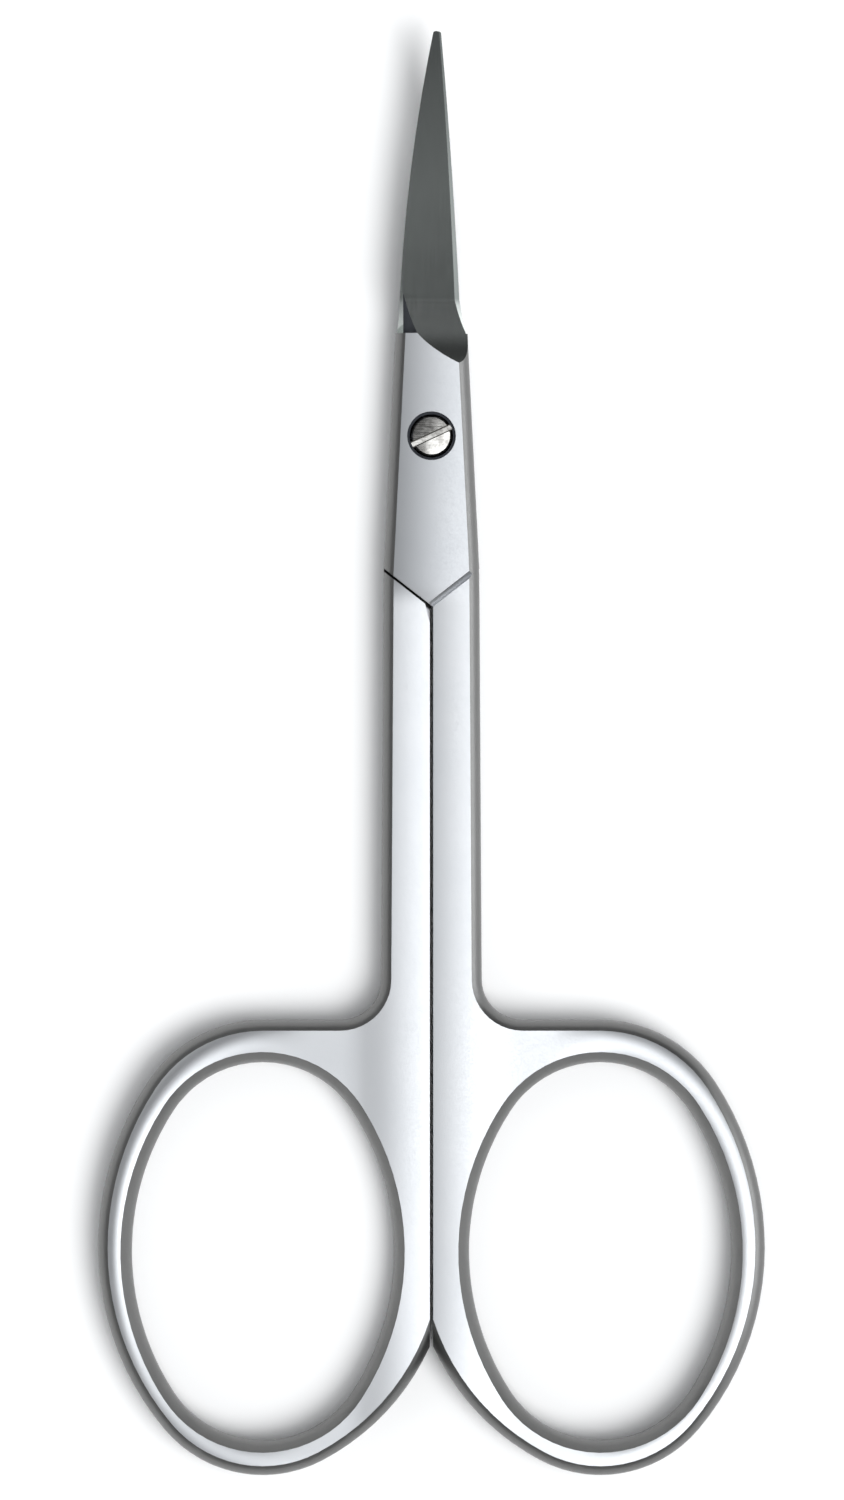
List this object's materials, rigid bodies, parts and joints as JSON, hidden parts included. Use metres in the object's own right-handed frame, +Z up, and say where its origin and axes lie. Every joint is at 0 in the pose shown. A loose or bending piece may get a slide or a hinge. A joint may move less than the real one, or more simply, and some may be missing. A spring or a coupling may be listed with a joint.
{
  "type": "cuticle scissors",
  "caption": "Slim steel cuticle scissors: fine blades curved upwards, a lapped joint on a slotted pivot screw, straight shanks and oval finger rings that open and close.",
  "frame": {"origin": "on the pivot axis, in the plane that the closed scissors lie on", "axes": "+X towards the ring of the upper half, +Y towards the blade tips, +Z up, out of the slotted screw head"},
  "size_m": [0.0426, 0.0919, 0.0042],
  "materials": {
    "satin_steel": "satin",
    "polished_steel": "polished"
  },
  "bodies": {
    "lower": {"lower_half": "satin_steel", "pivot_screw": "polished_steel"},
    "upper": {"upper_half": "satin_steel"}
  },
  "joints": [
    {"name": "pivot", "type": "hinge", "parent": "lower", "child": "upper", "pos_m": [0, 0, 0], "axis": [0, 0, 1], "range_deg": [0, 140]}
  ]
}
